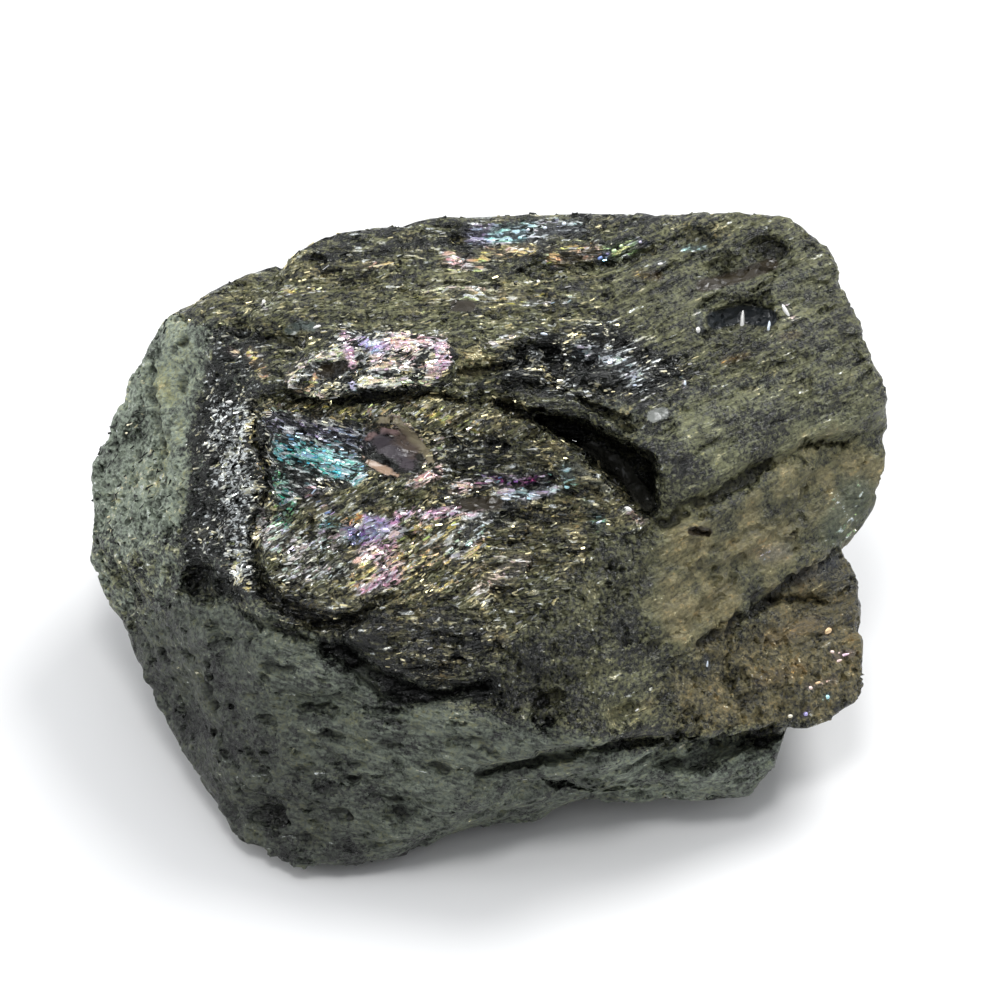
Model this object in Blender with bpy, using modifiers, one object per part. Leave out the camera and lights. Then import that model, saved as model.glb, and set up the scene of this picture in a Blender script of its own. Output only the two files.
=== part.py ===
"""A rough lump of black tourmaline, as broken from the rock, standing on a worn flat of its underside.

Metres, +Z up. The origin is on the table, under the middle of the lump. The front is -Y.
"""

import math

import bmesh
import bpy
import numpy as np
from mathutils import Vector, noise
from mathutils.bvhtree import BVHTree

MM = 0.001

# The lump is looked at from in front and above. A spot of it is given as it then appears:
# millimetres to the right and up in a picture plane through the middle of the lump.
EYE_ELEVATION = math.radians(45)
EYE_DISTANCE = 380
PLANE_HEIGHT = 16

# The blocks are joined, given an even skin, carved, and thinned to plain facets again.
SKIN_STEP = 0.7
SKIN_SMOOTHING = 2
TRIANGLES = 9000
SMALLEST_EDGE = 0.06
SEED_SHIFT = Vector((31.7, 12.3, 7.9))

# Each block is the hull of its corners. Those in sight are (right, up, height above the table), and
# those behind and below are (x, y, z), all in millimetres.
BODY_SEEN = [
    # the left end, from its shoulder down to the toe
    (-28.4, 14.3, 27.5), (-24.6, 16.8, 29.5), (-20.9, 18.6, 31), (-24.5, 14.7, 30.6),
    (-31.2, 8.5, 23), (-34, 2.5, 18), (-34.2, -5, 12.5), (-30.7, -11.8, 7.5), (-26, -19.2, 3.7),
    # the broad face that leans to the front, and the ridge below it
    (-26.1, -6.8, 19.5), (-19.9, -10.1, 21.4), (-19.9, 9, 31.2), (-14.2, -12.5, 20.4),
    (-8.4, -15.5, 18.9), (-1.7, -16.9, 17.8), (5, -19, 16.8), (8.3, -20.1, 15.6),
    (11.6, -5, 24.2), (12.9, -1.6, 25.8), (5, -11.6, 21.2), (0.5, 8, 30.7),
    # the right end, and the top under the slab
    (31.8, 2.5, 20), (30.4, -0.8, 18.4), (30.6, 8, 23.5), (29.9, 12, 26.5),
    (-16.7, 19.9, 31), (-0.9, 22.4, 32), (12.5, 22.3, 32), (23.7, 22, 31.4), (27.3, 18, 30),
    # the toe
    (-24.1, -24.9, 2.8), (-21.4, -28.8, 1.8), (-17.2, -30.7, 1.8), (-13, -30.5, 1.8),
    (-9.4, -29.8, 1.8), (-6.8, -28.9, 2),
]
BODY_HIDDEN = [
    (-18, 18, 20), (-6, 22, 18), (8, 23, 16), (21, 21, 17), (29, 13, 15), (31, 5, 12),
    (-27, 12, 14), (-31, 3, 10), (-27, -6, 3), (26, -2, 7), (26, 9, 7), (10, 19, 5), (-15, 16, 6),
]
# What it stands on: (x, y) spots that start this far below the table, where the flat is cut.
FOOT = [(-8, -7), (-8, 3), (-2, 7), (6, 5), (9, -2), (6, -9), (-1, -11)]
FOOT_DEPTH = 0.5

RIGHT_SEEN = [
    (8.3, -20.1, 15), (7.8, -14, 19.6), (10.5, -8.3, 22), (13.3, -1.3, 25.9), (16.6, 0.3, 26.3),
    (21.6, 2.7, 26), (27.6, 5.7, 25.4), (30.6, 7.4, 24.8), (32.2, 4.5, 22.4), (32, 1.9, 20.6),
    (30.7, -0.8, 18.8), (28.8, -3, 17.6), (25, -6.5, 18.2), (21.6, -8.6, 18.2),
    (16.6, -12.3, 17.8), (15.8, -19.8, 12.4),
]
RIGHT_HIDDEN = [(4, -8, 12), (26, 4, 14), (22, -4, 12), (12, -14, 8)]

CORNER_SEEN = [
    (11.6, -11.6, 19.5), (16.6, -11.6, 16.6), (22.5, -8, 16.8), (28.8, -4, 17), (30.3, -6.8, 15),
    (30.1, -9.3, 13.4), (30, -12.4, 12), (30.4, -15, 10.6), (30.1, -16.2, 9.8),
    (27.7, -18, 9.8), (25, -19.4, 10), (16.6, -20.3, 12.4), (8.3, -20.3, 14.6),
]
CORNER_HIDDEN = [(28, -2, 8), (26, -10, 5), (14, -12, 5), (12, 0, 8)]

BELLY_SEEN = [
    (-1.7, -16.9, 17.2), (5, -19.3, 15.6), (10, -21, 13.2), (16.6, -20.4, 11.6),
    (16.6, -21.4, 10.4), (11.6, -23.8, 5), (9, -24.1, 3.8), (4, -24.3, 3.8), (-0.5, -25.1, 3.4),
    (-6.5, -27.2, 2.2), (-13, -29.6, 0.6), (-8.4, -15.5, 18.5),
]
BELLY_HIDDEN = [(-8, -10, 3), (8, -14, 2.5), (14, -12, 5)]

KNOB_SEEN = [
    (11.6, -22.3, 9.4), (16.6, -21.3, 10.4), (23.5, -19.3, 8.8), (23.8, -20.1, 8.2),
    (22.8, -22.5, 6), (20.4, -24.7, 3.6), (16.6, -25.1, 3.2), (10.8, -25.3, 3), (8.4, -25.5, 3.2),
]
KNOB_HIDDEN = [(10, -10, 3), (20, -12, 4), (18, -8, 8)]

SLAB_SEEN = [
    (-17.8, 19.4, 32.5), (-16.7, 20.5, 33.6), (-14.2, 21.5, 34.4), (-5.9, 23.1, 35.2),
    (-0.9, 23.7, 35.6), (7.5, 22.7, 35.2), (12.5, 23.3, 35.7), (18.3, 23.8, 35.6), (24.3, 23.8, 35.2),
    (26.7, 21.9, 34.4), (28.3, 18.8, 32.8), (29.7, 15.2, 31.2), (31, 11.5, 29.2),
    (32.1, 8, 26.4), (32.4, 6, 23),
    (-21, 14.2, 32), (-19.6, 10, 32), (-16.7, 8.9, 32.2), (-8.4, 8.9, 32.8), (-4.2, 9.7, 33.2),
    (1.6, 8.4, 32.8), (8.3, 6, 31.8), (12.9, 2.9, 30.2), (13.4, -0.4, 27), (16.6, 0.5, 27.2),
    (21.6, 3, 27), (27.6, 6, 26),
]
SLAB_HIDDEN = [
    (-15, 4, 27), (12, 4, 22), (26, 4, 20), (-12, 14, 28), (20, 20, 24), (-4, 18.5, 28),
    (8, 20, 26), (28.5, 12, 22),
]

FLAKE_SEEN = [
    (-17.5, 8.7, 32.4), (-17.2, 10, 33), (-15, 13, 34.2), (-11, 13.8, 34.6), (-5, 13, 34.6),
    (-3.9, 11.5, 34.4), (-4.6, 9.5, 33.9), (-9, 8.7, 33.6), (-14, 8.5, 33),
]
FLAKE_HIDDEN = [(-14, 4, 29), (-7, 4, 30)]

# The cracks are wedges, cut along the line of sight: their outline as seen, how far behind the
# surface they end, and the share of their width that is left there.
CRACK_SEEN = [
    [(-0.2, 8.5), (5, 7.6), (8.8, 6.2), (9.2, 2.6), (5, 5), (1.6, 6.4)],
    [(7.6, 6.6), (10.6, 5), (12.8, 3.4), (13.5, 1.4), (11.2, -1), (9.6, 1.4), (7.2, 3.6)],
    [(13.5, 1.8), (13.6, -2), (12.6, -2), (10.9, -0.8), (10.2, 1)],
]
CRACK_DEPTH = 6
CRACK_NARROWING = 0.8
SPLIT_SEEN = [[(6.2, 8.9), (9.5, 8), (12, 6.4), (12.6, 5), (10.8, 5.6), (8.3, 7.2)]]
SPLIT_DEPTH = 3
SIGHT_CLEARANCE = 4

# The furrows run along (right, up) spots, with a width and a depth.
FURROWS = [
    # the crack between the glittering strip and the broad face
    ([(-20.2, 7.6), (-20.1, 5.9), (-19.4, 2.1), (-19.9, 0), (-20.5, -2.5), (-20.5, -5.4),
      (-19.9, -8.3), (-17.4, -10.1), (-14.2, -10.6), (-12.4, -9.8)], 1.4, 0.8),
    # the hollow under the lip of the broad face, and the smaller one to its left
    ([(-14.9, -11.8), (-13.4, -13.3), (-10.7, -15.3), (-7.5, -16.2), (-4.2, -16.1), (-1.7, -16.4)],
     3, 2.2),
    ([(-24.6, -8.3), (-21.7, -9.8), (-18.4, -11.6), (-15, -12.9)], 1.6, 0.9),
    ([(-17.5, -16.8), (-15.2, -17.3), (-13, -17.3)], 1.8, 1.3),
    ([(-12.4, -16.6), (-10.5, -16.9), (-8.5, -17.3)], 1.6, 1.1),
    # the black gap below the slab and its flake
    ([(-18, 8.5), (-15, 8.2), (-10.9, 8.2), (-8, 8.8), (-5, 9.3), (-2.1, 8.6), (0.4, 8)], 1.6, 1.4),
    # steps on the right face, and the groove in the corner below it
    ([(13.5, -2.3), (16.6, -0.2), (20, 1.7), (22, 2.9), (25, 4), (26.5, 4.9), (29.3, 4.4)], 1.4, 0.6),
    ([(21.6, -8.7), (24.1, -8.2), (27.3, -8.6)], 1.5, 1),
    # the layers that open at the lower right
    ([(-0.9, -23.1), (2.5, -22.5), (5.8, -21.4), (8.3, -21), (13.3, -20.6), (16.5, -20.6)], 1.8, 1.6),
    ([(12.5, -22.3), (15.8, -21.5), (20, -20.3), (22.6, -19.9)], 2.2, 2.6),
    ([(0.5, -24.1), (5.8, -24)], 2, 1.1),
    # splits along the grain of the slab
    ([(2.9, 18.9), (8.3, 19.6), (11.6, 20.7), (15.8, 21.9)], 1.5, 0.9),
    ([(-21.7, 16.9), (-14.2, 18), (-10.9, 18.2)], 1.3, 0.6),
    ([(-3.4, 10.2), (0, 11.5), (5, 12.4), (7.5, 12)], 1.5, 0.9),
    ([(-21.7, 14.2), (-19.9, 13.7), (-17.1, 13.4)], 1.4, 0.8),
]

# The dents are at (right, up) spots, with a half length along the grain, a half width and a depth.
DENTS = [
    (-8.2, 4, 3.6, 2, 0.8),
    (22.3, 20.6, 2.4, 1.6, 1.2), (19.3, 19.3, 2.4, 1.4, 0.9), (20, 15.4, 3.2, 2, 1.5),
    (16.6, 21.7, 2.4, 1.2, 0.8),
    (10.1, -17.8, 2, 1.6, 1.1), (-19.9, -25.5, 3, 1.8, 1), (-25, -6, 2, 1.6, 0.9),
    (-26.4, -17.2, 2.5, 4, 0.8), (19.5, -15, 2, 1.5, 0.8), (5, 10.2, 1.8, 1.4, 0.8), (-8, -25.6, 1.6, 1.2, 0.8),
]

# The grain lies along X and swings to the back at the right end.
GRAIN_SWING_FROM = 10
GRAIN_SWING = 0.62
CHIP_SIZE = Vector((9, 5, 5))
CHIP_TILT = 1.15
CHIP_STEP = 0.45
RIDGE_SIZE = Vector((13, 2.4, 2.4))
RIDGE_HEIGHT = 0.2

# What the even skin takes off the corners of the blocks is put back all over.
ROUNDING_LOSS = 0.1

STONE_COLOUR = (0.032, 0.036, 0.033, 1)
STONE_ROUGHNESS = 0.42


def sight(right, up):
    """The eye, and the direction in which it sees a spot of the picture plane."""
    middle = Vector((0, 0, PLANE_HEIGHT))
    away = Vector((0, -math.cos(EYE_ELEVATION), math.sin(EYE_ELEVATION)))
    upward = Vector((0, math.sin(EYE_ELEVATION), math.cos(EYE_ELEVATION)))
    eye = middle + away * EYE_DISTANCE
    spot = middle + Vector((right, 0, 0)) + upward * up
    return eye, (spot - eye).normalized()


def at_height(right, up, height):
    """The point seen at that spot which is this high above the table."""
    eye, direction = sight(right, up)
    return eye + direction * ((height - eye.z) / direction.z)


def hull(name, corners):
    """The closed hull of some corners, in millimetres, as an object."""
    mesh = bpy.data.meshes.new(name)
    form = bmesh.new()
    for corner in corners:
        form.verts.new(corner)
    made = bmesh.ops.convex_hull(form, input=form.verts)
    inner = [item for item in made["geom_interior"] if isinstance(item, bmesh.types.BMVert)]
    bmesh.ops.delete(form, geom=inner, context="VERTS")
    bmesh.ops.recalc_face_normals(form, faces=form.faces)
    form.to_mesh(mesh)
    form.free()
    return bpy.data.objects.new(name, mesh)


def block(name, seen, hidden):
    return hull(name, [at_height(*spot) for spot in seen] + hidden)


def surface_point(tree, right, up):
    """Where the line of sight through that spot meets the stone."""
    eye, direction = sight(right, up)
    hit = tree.ray_cast(eye, direction)[0]
    if hit is None:
        raise ValueError(f"nothing is seen at {right}, {up}")
    return hit


def wedge(name, tree, outline, depth):
    """A cutter of that outline, from in front of the stone to that depth behind its surface."""
    middle = Vector((0, 0))
    for spot in outline:
        middle += Vector(spot) / len(outline)
    corners = []
    for spot in outline:
        eye, direction = sight(*spot)
        hit = surface_point(tree, *spot)
        corners.append(hit - direction * SIGHT_CLEARANCE)
        corners.append(hit)
        inner = middle.lerp(Vector(spot), CRACK_NARROWING)
        inner_direction = sight(*inner)[1]
        corners.append(surface_point(tree, *inner) + inner_direction * depth)
    return hull(name, corners)


def applied(thing):
    """A mesh of the object as its modifiers leave it."""
    graph = bpy.context.evaluated_depsgraph_get()
    return bpy.data.meshes.new_from_object(thing.evaluated_get(graph), depsgraph=graph)


def apply_modifiers(thing):
    mesh = applied(thing)
    thing.modifiers.clear()
    thing.data = mesh


def combine(thing, others, operation):
    for other in others:
        join = thing.modifiers.new(other.name, "BOOLEAN")
        join.operation = operation
        join.solver = "EXACT"
        join.object = other


def tree_of(thing):
    graph = bpy.context.evaluated_depsgraph_get()
    return BVHTree.FromObject(thing, graph)


def build_blocks(aids):
    """The solid blocks joined, with the cracks cut out of them."""
    foot = [(x, y, -FOOT_DEPTH) for x, y in FOOT]
    stone = block("black_tourmaline", BODY_SEEN, BODY_HIDDEN + foot)
    bpy.context.scene.collection.objects.link(stone)
    blocks = [
        block("right_face", RIGHT_SEEN, RIGHT_HIDDEN),
        block("corner", CORNER_SEEN, CORNER_HIDDEN),
        block("belly", BELLY_SEEN, BELLY_HIDDEN),
        block("knob", KNOB_SEEN, KNOB_HIDDEN),
        block("slab", SLAB_SEEN, SLAB_HIDDEN),
        block("flake", FLAKE_SEEN, FLAKE_HIDDEN),
    ]
    for piece in blocks:
        aids.objects.link(piece)
    combine(stone, blocks, "UNION")
    bpy.context.view_layer.update()
    tree = tree_of(stone)
    cutters = []
    for number, outline in enumerate(CRACK_SEEN):
        cutters.append(wedge(f"crack_{number}", tree, outline, CRACK_DEPTH))
    for number, outline in enumerate(SPLIT_SEEN):
        cutters.append(wedge(f"split_{number}", tree, outline, SPLIT_DEPTH))
    for piece in cutters:
        aids.objects.link(piece)
    combine(stone, cutters, "DIFFERENCE")
    for piece in blocks + cutters:
        piece.hide_render = True
        piece.display_type = "WIRE"
    bpy.context.view_layer.update()
    return stone


def even_skin(stone):
    remesh = stone.modifiers.new("skin", "REMESH")
    remesh.mode = "VOXEL"
    remesh.voxel_size = SKIN_STEP
    wear = stone.modifiers.new("wear", "SMOOTH")
    wear.iterations = SKIN_SMOOTHING
    wear.factor = 0.5
    bpy.context.view_layer.update()
    apply_modifiers(stone)


def in_grain(point):
    """The point with its y measured across the grain."""
    swing = max(0, point.x - GRAIN_SWING_FROM) * GRAIN_SWING
    return Vector((point.x, point.y - swing, point.z))


def stretched(point, size):
    return Vector([point[axis] / size[axis] for axis in range(3)]) + SEED_SHIFT


def chip(point):
    """Flat chips, each tilted its own way and a little higher or lower than the next."""
    place = stretched(point, CHIP_SIZE)
    centre = noise.voronoi(place)[1][0]
    lean = noise.cell_vector(centre * 37) - Vector((0.5, 0.5, 0.5))
    step = noise.cell_vector(centre * 53).x - 0.5
    return CHIP_TILT * lean.dot(place - centre) + CHIP_STEP * step


def ridge(point):
    """Long low ribs along the grain."""
    return RIDGE_HEIGHT * (1 - 3 * abs(noise.noise(stretched(point, RIDGE_SIZE))))


def path_distance(places, path):
    """How far each place is from a path of straight runs."""
    nearest = np.full(len(places), np.inf)
    for start, end in zip(path, path[1:]):
        start = np.array(start)
        run = np.array(end) - start
        share = np.clip((places - start) @ run / (run @ run), 0, 1)
        gap = np.linalg.norm(places - start - share[:, None] * run, axis=1)
        nearest = np.minimum(nearest, gap)
    return nearest


def carve(stone):
    """Chips and ribs all over, then the furrows and dents at their places."""
    mesh = stone.data
    tree = tree_of(stone)
    places = np.empty(len(mesh.vertices) * 3)
    mesh.vertices.foreach_get("co", places)
    places = places.reshape(-1, 3)
    outward = np.array([vertex.normal[:] for vertex in mesh.vertices])
    rise = np.empty(len(places))
    for number, place in enumerate(places):
        point = in_grain(Vector(place))
        rise[number] = ROUNDING_LOSS + chip(point) + ridge(point)
    for spots, width, depth in FURROWS:
        path = [surface_point(tree, *spot) for spot in spots]
        share = np.clip(path_distance(places, path) / width, 0, 1)
        rise = rise * share - depth * (1 - share) ** 2 * (1 + 2 * share)
    for right, up, length, width, depth in DENTS:
        offset = (places - np.array(surface_point(tree, right, up))) / (length, width, width)
        share = np.clip(np.linalg.norm(offset, axis=1), 0, 1)
        rise = rise * share - depth * (1 - share ** 2)
    mesh.vertices.foreach_set("co", (places + outward * rise[:, None]).ravel())
    mesh.update()


def thin(stone):
    """The skin with only the facets that its shape needs."""
    fewer = stone.modifiers.new("facets", "DECIMATE")
    fewer.ratio = TRIANGLES / (2 * len(stone.data.polygons))
    fewer.use_collapse_triangulate = True
    bpy.context.view_layer.update()
    apply_modifiers(stone)


def stand(stone):
    """The underside cut off flat where it meets the table, its middle at the origin, in metres."""
    form = bmesh.new()
    form.from_mesh(stone.data)
    everything = form.verts[:] + form.edges[:] + form.faces[:]
    cut = bmesh.ops.bisect_plane(
        form, geom=everything, plane_co=(0, 0, 0), plane_no=(0, 0, -1), clear_outer=True)
    rim = [item for item in cut["geom_cut"] if isinstance(item, bmesh.types.BMEdge)]
    bmesh.ops.triangle_fill(form, edges=rim, use_beauty=True, use_dissolve=False)
    bmesh.ops.remove_doubles(form, verts=form.verts, dist=SMALLEST_EDGE)
    bmesh.ops.dissolve_degenerate(form, edges=form.edges, dist=SMALLEST_EDGE)
    bmesh.ops.triangulate(form, faces=form.faces)
    bmesh.ops.recalc_face_normals(form, faces=form.faces)
    wide = [vertex.co.x for vertex in form.verts]
    deep = [vertex.co.y for vertex in form.verts]
    middle = Vector((min(wide) + max(wide), min(deep) + max(deep), 0)) / 2
    bmesh.ops.translate(form, vec=-middle, verts=form.verts)
    bmesh.ops.scale(form, vec=(MM, MM, MM), verts=form.verts)
    form.to_mesh(stone.data)
    form.free()


def finish(stone):
    material = bpy.data.materials.new("tourmaline")
    material.use_nodes = True
    shader = material.node_tree.nodes["Principled BSDF"]
    shader.inputs["Base Color"].default_value = STONE_COLOUR
    shader.inputs["Roughness"].default_value = STONE_ROUGHNESS
    shader.inputs["Metallic"].default_value = 0
    stone.data.materials.clear()
    stone.data.materials.append(material)


def main():
    for old in list(bpy.data.objects):
        bpy.data.objects.remove(old)
    root = bpy.context.scene.collection
    parts = bpy.data.collections.new("black_tourmaline")
    aids = bpy.data.collections.new("cutters")
    root.children.link(parts)
    root.children.link(aids)
    stone = build_blocks(aids)
    even_skin(stone)
    carve(stone)
    thin(stone)
    stand(stone)
    finish(stone)
    root.objects.unlink(stone)
    parts.objects.link(stone)


main()
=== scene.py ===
import math

import bmesh
import bpy
import numpy as np
from mathutils import Matrix, Vector, noise
from mathutils.bvhtree import BVHTree


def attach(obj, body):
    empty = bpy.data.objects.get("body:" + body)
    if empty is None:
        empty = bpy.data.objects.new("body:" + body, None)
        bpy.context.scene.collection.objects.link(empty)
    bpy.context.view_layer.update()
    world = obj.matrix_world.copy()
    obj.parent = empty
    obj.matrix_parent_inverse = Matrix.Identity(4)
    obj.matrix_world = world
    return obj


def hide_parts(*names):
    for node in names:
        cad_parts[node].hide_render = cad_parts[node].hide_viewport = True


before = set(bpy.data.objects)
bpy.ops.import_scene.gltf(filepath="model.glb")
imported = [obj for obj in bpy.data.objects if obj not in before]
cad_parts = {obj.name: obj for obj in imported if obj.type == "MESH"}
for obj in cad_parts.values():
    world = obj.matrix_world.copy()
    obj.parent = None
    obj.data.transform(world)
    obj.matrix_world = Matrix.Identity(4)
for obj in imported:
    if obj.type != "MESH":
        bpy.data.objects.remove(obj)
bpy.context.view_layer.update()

print("frame loaded")

# Shapes are worked out in millimetres and stored in metres.
milli = 0.001
perMetre = 1000.0

cameraView = {
    "aim": (1.06, 2.51, 16),  # what the middle of the picture shows, in millimetres
    "elevation": 45,  # degrees above the table
    "distance": 380,
    "pixelsPerMillimetre": 12,  # at the aim
    "pictureSize": 1001,
    "sensorWidth": 36,
    "nearest": 0.01,  # in metres
}


def viewDirections():
    tilt = math.radians(cameraView["elevation"])
    towards = Vector((0, -math.cos(tilt), math.sin(tilt)))  # from the aim to the camera
    upward = Vector((0, math.sin(tilt), math.cos(tilt)))  # up in the picture
    return Vector(cameraView["aim"]), towards, upward


def pictureSpots(places):  # the pixels at which places in millimetres are seen
    aim, towards, upward = viewDirections()
    offset = places - np.array(aim)
    depth = cameraView["distance"] - offset @ np.array(towards)
    scale = cameraView["pixelsPerMillimetre"] * cameraView["distance"] / depth
    middle = cameraView["pictureSize"] / 2
    return np.stack([middle + offset[:, 0] * scale, middle - offset @ np.array(upward) * scale], 1)


def sightLine(x, y):  # the camera's place and the direction in which it sees a pixel
    aim, towards, upward = viewDirections()
    middle = cameraView["pictureSize"] / 2
    right = (x - middle) / cameraView["pixelsPerMillimetre"]
    up = (middle - y) / cameraView["pixelsPerMillimetre"]
    eye = aim + towards * cameraView["distance"]
    spot = aim + Vector((right, 0, 0)) + upward * up
    return eye, (spot - eye).normalized()


def newThing(name, data):
    thing = bpy.data.objects.new(name, data)
    bpy.context.scene.collection.objects.link(thing)
    return thing


def makeCamera():
    aim, towards = viewDirections()[:2]
    lens = bpy.data.cameras.new("camera")
    width = cameraView["pictureSize"] / cameraView["pixelsPerMillimetre"]
    lens.sensor_width = cameraView["sensorWidth"]
    lens.lens = cameraView["sensorWidth"] * cameraView["distance"] / width
    lens.clip_start = cameraView["nearest"]
    camera = newThing("camera", lens)
    camera.location = (aim + towards * cameraView["distance"]) * milli
    camera.rotation_euler = (math.radians(90 - cameraView["elevation"]), 0, 0)
    bpy.context.scene.camera = camera


def bothForms(operation):  # the plain and the reflected form of an operator
    def plain(wire, other):
        return wire.graph.sum(operation, wire, other)

    def reflected(wire, other):
        return wire.graph.sum(operation, other, wire)
    return plain, reflected


class Wire:  # a node's output that can be used in sums
    def __init__(self, graph, socket):
        self.graph = graph
        self.socket = socket

    __add__, __radd__ = bothForms("ADD")
    __sub__, __rsub__ = bothForms("SUBTRACT")
    __mul__, __rmul__ = bothForms("MULTIPLY")
    __truediv__, __rtruediv__ = bothForms("DIVIDE")


class Graph:  # a node tree that is written as expressions
    def __init__(self, tree):
        self.tree = tree

    def feed(self, socket, value):
        if isinstance(value, Wire):
            self.tree.links.new(value.socket, socket)
        elif socket.type in ("VECTOR", "RGBA") and not hasattr(value, "__len__"):
            socket.default_value = [value] * len(socket.default_value)
        elif socket.type == "RGBA":
            socket.default_value = (*value[:3], 1)
        else:
            socket.default_value = value

    def fill(self, node, values):
        for name, value in values.items():
            self.feed(node.inputs[name], value)

    def wires(self, kind, settings, values, outputs):
        made = self.tree.nodes.new(kind)
        for name, setting in settings.items():
            setattr(made, name, setting)
        self.fill(made, values)
        return [Wire(self, made.outputs[output]) for output in outputs]

    def node(self, kind, settings, values, output=0):
        return self.wires(kind, settings, values, (output,))[0]

    def sum(self, operation, *values):
        spatial = [v for v in values if hasattr(v, "__len__") or
                   isinstance(v, Wire) and v.socket.type in ("VECTOR", "RGBA")]
        kind = "ShaderNodeVectorMath" if spatial else "ShaderNodeMath"
        return self.node(kind, {"operation": operation}, dict(enumerate(values)))

    def dot(self, first, second):
        return self.node("ShaderNodeVectorMath", {"operation": "DOT_PRODUCT"},
                         {0: first, 1: second}, "Value")

    def vector(self, x, y, z):
        return self.node("ShaderNodeCombineXYZ", {}, {"X": x, "Y": y, "Z": z})

    def parts(self, vector):
        return self.wires("ShaderNodeSeparateXYZ", {}, {0: vector}, (0, 1, 2))

    def rise(self, value, low, high):  # 0 below low, 1 above high and smooth between them
        return self.node("ShaderNodeMapRange", {"interpolation_type": "SMOOTHSTEP"},
                         {"Value": value, "From Min": low, "From Max": high})

    def mix(self, share, first, second, kind="FLOAT"):
        start, output = {"FLOAT": (2, 0), "VECTOR": (4, 1), "RGBA": (6, 2)}[kind]
        return self.node("ShaderNodeMix", {"data_type": kind},
                         {0: share, start: first, start + 1: second}, output)

    def tint(self, share, first, second):  # one colour over another
        return self.mix(share, first, second, "RGBA")

    def pick(self, value, step, first, second):  # the second of two vectors above a step
        return self.mix(self.sum("GREATER_THAN", value, step), first, second, "VECTOR")

    def grain(self, place, size, detail=2.0, roughness=0.5, shift=0.0):
        return self.node("ShaderNodeTexNoise", {"noise_dimensions": "3D"},
                         {"Vector": place / size + shift, "Scale": 1.0, "Detail": detail,
                          "Roughness": roughness})

    def cells(self, place, size, shift=0.0):
        # for each cell a random colour, the offset from its middle and the distance to it
        spot = place / size + shift
        chance, centre, distance = self.wires("ShaderNodeTexVoronoi", {}, {
            "Vector": spot, "Scale": 1.0}, ("Color", "Position", "Distance"))
        return chance, (spot - centre) * size, distance


# A mask is a sum of values and noises, each with its weight, that rises from 0 to 1 between two limits.
def masksOf(graph, masks, wires):
    made = {}
    for name, (weights, low, high) in masks.items():
        first, *others = (wires[part] * weight for part, weight in weights.items())
        made[name] = graph.rise(sum(others, first), low, high)
    return made


# The grain of the stone lies along X and swings to the back at the right end. On the broad front
# face it rises to the right, and it falls to the right in the blue part of that face.
grainRun = {
    "swingFrom": 10.0,
    "swing": 0.62,
    "axis": (0, -0.495, 0.869),
    # where strokes is above the first number, the grain is turned by the second: falling, then rising
    "turns": ((0.5, math.radians(17)), (1.5, math.radians(-31))),
    "noRunFrom": 2.5,
    "noRun": (3.0, 1.0, 1.0),  # shortens the grain where it has no run
}


def alongGrain(graph, place, strokes):  # 0 is level, 1 falling, 2 rising and 3 no run at all
    x, y, z = graph.parts(place)
    late = graph.sum("MAXIMUM", x - grainRun["swingFrom"], 0.0)
    grain = graph.vector(x, y - late * grainRun["swing"], z)
    for step, turn in grainRun["turns"]:
        turned = graph.node("ShaderNodeVectorRotate", {"rotation_type": "AXIS_ANGLE"},
                            {"Vector": place, "Axis": grainRun["axis"], "Angle": turn})
        grain = graph.pick(strokes, step, grain, turned)
    return graph.pick(strokes, grainRun["noRunFrom"], grain, place * grainRun["noRun"])


def plainMesh(thing):  # the object's mesh as its modifiers leave it
    graph = bpy.context.evaluated_depsgraph_get()
    mesh = bpy.data.meshes.new_from_object(thing.evaluated_get(graph), depsgraph=graph)
    thing.modifiers.clear()
    thing.data = mesh


skin = {
    "weld": 0.01,
    "step": 0.27,
    "smoothing": 2,
    "triangles": 192000,
}


def makeSkin():
    form = bmesh.new()
    form.from_mesh(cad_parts["black_tourmaline"].data)
    bmesh.ops.remove_doubles(form, verts=form.verts, dist=skin["weld"] * milli)
    mesh = bpy.data.meshes.new("stone")
    form.to_mesh(mesh)
    form.free()
    stone = newThing("tourmalineStone", mesh)
    remesh = stone.modifiers.new("skin", "REMESH")
    remesh.mode = "VOXEL"
    remesh.voxel_size = skin["step"] * milli
    smooth = stone.modifiers.new("smooth", "SMOOTH")
    smooth.iterations = skin["smoothing"]
    bpy.context.view_layer.update()
    plainMesh(stone)
    print("skin", len(stone.data.vertices), "vertices")
    return stone


def placesOf(stone):  # in millimetres
    places = np.empty(len(stone.data.vertices) * 3)
    stone.data.vertices.foreach_get("co", places)
    return places.reshape(-1, 3) / milli


def normalsOf(stone):
    return np.array([vertex.normal[:] for vertex in stone.data.vertices])


def treeOf(stone):  # for rays in millimetres
    places = [Vector(place) for place in placesOf(stone)]
    return BVHTree.FromPolygons(places, [tuple(face.vertices) for face in stone.data.polygons])


def seenAt(tree, x, y):
    hit = tree.ray_cast(*sightLine(x, y))[0]
    if hit is None:
        raise ValueError(f"nothing is seen at {x}, {y}")
    return hit


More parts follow.
